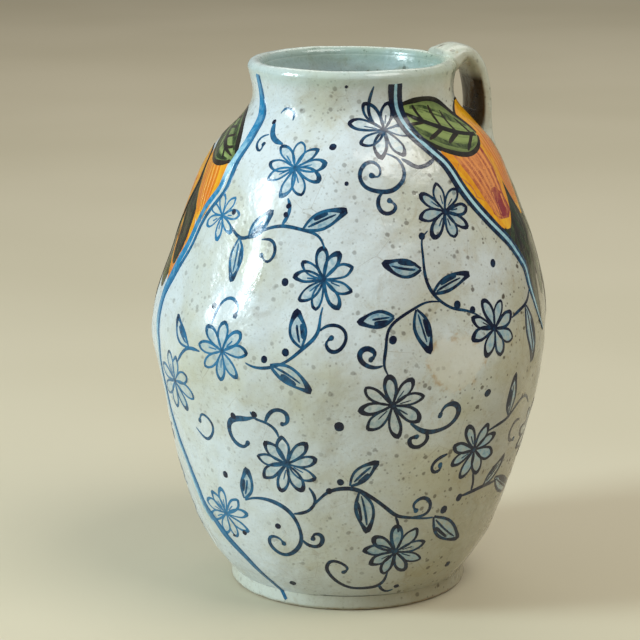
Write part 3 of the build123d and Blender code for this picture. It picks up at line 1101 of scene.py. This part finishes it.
def paint_vines(place, keep, layer):
    """Paints the vine pattern with each angle moved by place, where keep(angle, height) is true."""
    for centre, radius, petals, turn, wash_load, ink_load in FLOWERS:
        if keep(*centre):
            flower((place(centre[0]), centre[1]), radius, petals, turn, wash_load, ink_load, layer)
    for base, tip, half_width in LEAVES:
        if keep(*base) and keep(*tip):
            bend, wash_load = rng.uniform(-0.07, 0.07), rng.uniform(0.3, 0.8)
            leaf((place(base[0]), base[1]), (place(tip[0]), tip[1]), half_width, bend, wash_load, layer)
    for width, bulb, places in VINES:
        if all(keep(*point) for point in places):
            line = up_from([(place(angle), height) for angle, height in places])
            stroke(layer + "ink", line, 0.95 * width, rng.uniform(0.55, 0.9), bulb=bulb)
            if bulb:
                last_angle, last_height = places[-1]
                dot(layer + "ink", (place(last_angle), last_height), 1.3 + 1.5 * bulb, 0.7)
    for centre, size in DOTS:
        if keep(*centre):
            dot(layer + "ink", (place(centre[0]), centre[1]), size, lean=rng.uniform(40, 130))


def everywhere(angle, height):
    """All of the front's marks."""
    return True


def below_handle(angle, height):
    """The front's marks that are repeated below the handle."""
    return -131 <= angle <= -64 and height < 99


def behind(angle, height):
    """The front's marks that are mirrored on the back."""
    return -131 <= angle <= -56 and height < 150 or -115 <= angle <= -86 and height < 205


paint_vines(lambda angle: angle, everywhere, "front_")
paint_vines(lambda angle: angle + 98, below_handle, "side_")
paint_vines(lambda angle: -4 - angle, behind, "back_")

# ---------------------------------------------------------------- borders and garlands

BORDER_LIFT = 0.34


def turned(places, about, side):
    """Places as they are, or mirrored about an angle where side is -1."""
    return [(angle if side > 0 else 2 * about - angle, height) for angle, height in places]


def left_border(side):
    """A broad bright stroke with a thin dark one along its front, which runs on to the foot."""
    line = smooth_places(up_from(turned(LEFT_BORDER, SIDE_GARLAND, side)), 1.0)
    t = np.linspace(0, 1, len(line))
    thin = np.interp(t, [0, 0.05, 0.4, 0.47, 0.7, 0.82, 1], [0.7, 0.95, 0.8, 0.7, 0.9, 1.6, 1.5])
    thin *= taper(len(line), 0.5, 0.6)
    thin_load = np.interp(t, [0, 0.3, 0.5, 0.8, 1], [0.2, 0.35, 0.0, 0.1, 0.5])
    lay("edge_ink", line, thin, BORDER_LIFT, thin_load)
    apart = np.interp(t, [0, 0.07, 0.16, 0.2, 0.46], [1.2, 2.2, 2.2, 4.2, 2.6])
    broad = aside(line, side * apart)
    half = np.interp(t, [0, 0.12, 0.18, 0.21, 0.4, 0.48, 0.8], [2.2, 2.2, 1.1, 1.5, 1.6, 1.3, 0.9])
    last = int(0.82 * len(line))
    load = np.interp(t, [0, 0.1, 0.18, 0.22, 0.42, 0.5, 0.7], [0.9, 0.9, 0.2, 0.95, 0.9, 0.35, 0.2])
    lay("edge_blue", broad[:last], half[:last] * taper(last, 0.8, 0.2), BORDER_LIFT - 0.03, load[:last])


def right_border(side):
    """Two dark strokes with a line of pale blue between them."""
    line = smooth_places(up_from(turned(RIGHT_BORDER, 0, side)), 1.0)
    t = np.linspace(0, 1, len(line))
    gap = np.interp(t, [0, 0.8, 1], [1.75, 1.55, 0.3])
    blue_width = 1.2 * np.interp(t, [0, 0.85, 1], [1, 1, 0.3])
    lay("edge_blue", line, blue_width, BORDER_LIFT - 0.03, 0.2 + 0.2 * np.sin(11 * t))
    ink_load = np.interp(t, [0, 0.7, 1], [1.1, 0.8, 0.4])
    for hand in (-1, 1):
        width = np.interp(t, [0, 0.12, 0.8, 1], [1.25, 1.0, 0.85, 0.4]) * taper(len(line), 1.0, 0.3)
        lay("edge_ink", aside(line, hand * gap), width, BORDER_LIFT, ink_load)


for side in (1, -1):
    left_border(side)
    right_border(side)


# A garland leaf's brush marks: (how far aside at its base and tip, width, paint over the leaf's)
LEAF_STREAKS = [
    ((0.62, 0.55), 0.1, 0.5), ((0.3, 0.35), 0.12, -0.4),
    ((-0.35, -0.3), 0.13, -0.35), ((-0.65, -0.6), 0.09, 0.4),
]


class Garland:
    """One half of a garland of fruit and leaves, painted each over the last."""

    def __init__(self, layer, about, side, lift=0.03):
        self.layer, self.about, self.side, self.lift = layer, about, side, lift

    def at(self, angle, height):
        return self.about + self.side * angle, height

    def shape(self, base, tip, half_width, bend, widest, ends, paint, load, outlined):
        """Paints the shape's colour and outline, and returns what its marks need."""
        base, tip = self.at(*base), self.at(*tip)
        end = from_centre(base, tip)
        middle, half = blade_shape(base, (0, 0), end, half_width, bend * self.side, widest, *ends)
        self.lift += 0.034
        fill(self.layer + paint, middle, half, load, self.lift, 17)
        if outlined:
            for hand in (-1, 1):
                self.line(aside(middle, hand * half)[::2], outlined, 0.8, 0.5, 0.5, 0.024)
        return middle, half

    def line(self, places, width, load, start, end, above):
        """A dark line over the shape painted last."""
        stroke(self.layer + "dark", places, width, load, start, end, lift=self.lift + above)

    def streak(self, paint, middle, half, sides, width, load, first=0.1, last=0.93):
        """One brush mark down a shape, from one side of it to another."""
        rows = np.arange(int(first * len(middle)), int(last * len(middle)), 2)
        places = aside(middle, half * np.linspace(sides[0], sides[1], len(middle)))[rows]
        width = 2 * width * half.max()
        stroke(self.layer + paint, places, width, load, 0.15, 0.3, lift=self.lift + 0.012, columns=7)

    def leaf(self, base, tip, half_width, bend, load, veins, outlined=1.3):
        """A leaf, brushed darker and paler down its sides, with a midrib and veins."""
        middle, half = self.shape(base, tip, half_width, bend, 0.48, (0.7, 0.6), "green", load, outlined)
        for sides, width, more in LEAF_STREAKS:
            self.streak("green", middle, half, sides, width, load + more)
        self.line(middle[1:-1:3], 1.7, 0.9, 1.0, 0.2, 0.028)
        for place in np.linspace(0.12, 0.7, veins):
            k = int(place * len(middle))
            ahead = min(len(middle) - 1, k + int(0.17 * len(middle)))
            for hand in (-1, 1):
                reach = aside(middle, hand * half * rng.uniform(0.65, 0.9))[ahead]
                half_way = (middle[k] + reach) / 2 + rng.uniform(-0.5, 0.5, 2)
                vein = np.array([middle[k], half_way, reach])
                self.line(vein, rng.uniform(0.8, 1.4), 0.7, 1.0, 0.2, 0.026)

    def band(self, border, apart, half_width):
        """A yellow band along a border's inner side."""
        line = smooth_places(up_from([self.at(*place) for place in border]))
        line = aside(line, self.side * -apart)
        lay(self.layer + "yellow", line, half_width * taper(len(line), 0.2, 0.1), self.lift, 0.4, 9)

    def fruit(self, base, tip, half_width, bend, rose, outlined=0.0):
        """A fruit, yellow streaked with orange, or salmon and rose too where it is ripe, which
        is where rose is over 0.5."""
        middle, half = self.shape(base, tip, half_width, bend, 0.3, (0.62, 0.42), "yellow", 0.3, outlined)
        ripe = rose > 0.5
        if ripe:
            self.streak("rose", middle, half, (0.2, 0.1), 0.6, 0.1, 0.25, 0.8)
        self.lift += 0.006
        for reach in (-0.58, -0.3, 0.0, 0.28, 0.52, 0.76):
            load, width, first = (rng.uniform(*ends) for ends in ((0.3, 0.6), (0.035, 0.055), (0.12, 0.26)))
            paint, load = ("rose", load) if ripe else ("yellow", 1.2)
            self.streak(paint, middle, half, (reach * 0.9, reach), width, load, first)
        for reach in (-0.44, -0.14, 0.15, 0.4, 0.64):
            width, load, first = (rng.uniform(*ends) for ends in ((0.06, 0.1), (-0.6, -0.2), (0.16, 0.3)))
            self.streak("rose", middle, half, (reach * 0.9, reach), rose * width, load, first, 0.88)
        if ripe:
            self.lift += 0.006
            self.streak("rose", middle, half, (-0.1, 0.0), 0.3, 0.7, 0.66, 0.95)
            self.streak("rose", middle, half, (-0.1, 0.0), 0.14, 1.25, 0.76, 0.92)


for side in (1, -1):
    under_handle = Garland("handle_", 0, side)
    under_handle.leaf((-35, 172), (-29, 124), 9.5, -0.05, 0.7, 6)
    under_handle.leaf((-17, 158), (-13, 108), 8.5, 0.06, 0.5, 6)
    under_handle.leaf((-44, 184), (-40.5, 115), 11.0, 0.05, 1.25, 7, 1.8)
    under_handle.leaf((-12, 190), (-24, 148), 9.0, 0.1, 0.4, 4)
    under_handle.fruit((-33, 204), (-33, 158), 14.0, -0.05, 0.3, 0.8)
    under_handle.band(RIGHT_BORDER[4:10], 3.6, 3.2)
    under_handle.fruit((-62.5, 200), (-51, 155.5), 16.5, -0.07, 0.9)
    under_handle.leaf((-39.5, 191), (-88, 205), 12.2, -0.05, 0.15, 4, 1.6)
    side_garland = Garland("garland_", SIDE_GARLAND, side)
    side_garland.leaf((12, 170), (14, 128), 9.0, 0.05, 0.9, 6)
    side_garland.fruit((13, 164), (23, 124), 10.5, -0.08, 0.4)
    side_garland.leaf((8, 178), (19, 138), 6.5, -0.08, 1.3, 5, 1.8)
    side_garland.fruit((14, 193), (29, 157), 12.5, -0.05, 0.2)
    side_garland.leaf((0, 199), (37, 184), 9.5, 0.08, 0.45, 4, 1.6)
for layer, about, half_width in (("handle_", 0, 13.0), ("garland_", SIDE_GARLAND, 12.0)):
    middle_piece = Garland(layer, about, 1, lift=0.25)
    middle_piece.leaf((0, 150), (0, 106), 8.5, 0.05, 0.8, 6)
    middle_piece.fruit((0, 184), (0, 143), half_width, 0.0, 0.9, 0.8)


def under_garland(angle, height):
    """The front's marks that are repeated below the side garland."""
    return -126 <= angle <= -80 and height < 75


paint_vines(lambda angle: angle - 107, under_garland, "garland_")

LAYER_PAINTS = {
    "ink": (COBALT, "cobalt_paint"),
    "wash": (BLUE_WASH, "pale_blue_wash"),
    "blue": (BRIGHT_BLUE, "pale_blue_wash"),
    "green": (GREEN, "green_paint"),
    "yellow": (YELLOW, "yellow_paint"),
    "rose": (ROSE, "rose_paint"),
    "dark": (UMBER, "brown_paint"),
}

for name, group in layers.items():
    material, slot = LAYER_PAINTS[name.rsplit("_", 1)[1]]
    points = np.concatenate(group["points"])
    marks = {"load": np.concatenate(group["load"]), "edge": np.concatenate(group["edge"])}
    piece = add_piece("painted_" + name, points, group["faces"], material, marks=marks)
    piece.data.normals_split_custom_set_from_vertices(np.concatenate(group["normals"]).tolist())


# ---------------------------------------------------------------- floor, light and camera

floor_mesh = bpy.data.meshes.new("studio_floor")
floor_mesh.from_pydata([(-6, -6, 0), (6, -6, 0), (6, 6, 0), (-6, 6, 0)], [], [(0, 1, 2, 3)])
floor = bpy.data.objects.new("studio_floor", floor_mesh)
bpy.context.scene.collection.objects.link(floor)
floor_paint = Finish("studio_floor", 0.75, 0.0, 0.3)
floor_cloud = floor_paint.fade(floor_paint.noise(400, 2.0), 0.3, 0.7)
floor_shade = floor_paint.mix(floor_cloud, linear(202, 194, 170), linear(195, 187, 162))
floor_mesh.materials.append(floor_paint.finish(floor_shade))

VIEW_ANGLE = -112.0
TARGET = Vector((0, 0, 0.11))


def studio_light(name, turn, rise, distance, size, power, colour, spread=180.0):
    """A soft box, turned from the camera's side of the pot and raised, facing the pot."""
    light = bpy.data.lights.new(name, "AREA")
    light.shape = "RECTANGLE"
    light.size, light.size_y = size
    light.energy = power
    light.spread = math.radians(spread)
    light.color = colour
    holder = bpy.data.objects.new(name, light)
    around, up = math.radians(VIEW_ANGLE + turn), math.radians(rise)
    way = Vector((math.cos(around) * math.cos(up), math.sin(around) * math.cos(up), math.sin(up)))
    holder.location = TARGET + way * distance
    holder.rotation_euler = way.to_track_quat("Z", "Y").to_euler()
    bpy.context.scene.collection.objects.link(holder)


studio_light("window", -74, 26, 1.8, (0.46, 0.8), 7.5, (0.76, 0.92, 1.0), 90.0)
studio_light("room", 56, 58, 2.0, (1.1, 0.9), 19.5, (1.0, 0.98, 0.93))
studio_light("back", 180, 45, 2.2, (1.4, 1.0), 8, (1.0, 0.97, 0.92))

scene = bpy.context.scene
scene.world = bpy.data.worlds.new("studio")
scene.world.use_nodes = True
sky = scene.world.node_tree

# The sky is dimmer low down than overhead
LOW, HIGH, LOW_STRENGTH, HIGH_STRENGTH = -0.1, 1.0, 0.2, 0.44
direction = sky.nodes.new("ShaderNodeTexCoord")
height_of = sky.nodes.new("ShaderNodeSeparateXYZ")
dome = sky.nodes.new("ShaderNodeMapRange")
for socket, number in zip(dome.inputs[1:5], (LOW, HIGH, LOW_STRENGTH, HIGH_STRENGTH)):
    socket.default_value = number
sky.links.new(direction.outputs["Generated"], height_of.inputs[0])
sky.links.new(height_of.outputs[2], dome.inputs[0])
sky.links.new(dome.outputs[0], sky.nodes["Background"].inputs["Strength"])
sky.nodes["Background"].inputs["Color"].default_value = (1.0, 0.965, 0.89, 1.0)
scene.view_settings.view_transform = "Standard"

CAMERA_DISTANCE = 1.0012
CAMERA_HEIGHT = 0.3498
CAMERA_PITCH = 13.45
CAMERA_PAN = 0.716
CAMERA_LENS = 138.7
camera_data = bpy.data.cameras.new("camera")
camera_data.sensor_width = 36
camera_data.lens = CAMERA_LENS
camera_data.clip_end = 30
camera = bpy.data.objects.new("camera", camera_data)
around = math.radians(VIEW_ANGLE)
camera.location = (CAMERA_DISTANCE * math.cos(around), CAMERA_DISTANCE * math.sin(around), CAMERA_HEIGHT)
heading = VIEW_ANGLE + 180 + CAMERA_PAN
camera.rotation_euler = (math.radians(90 - CAMERA_PITCH), 0, math.radians(heading - 90))
scene.collection.objects.link(camera)
scene.camera = camera
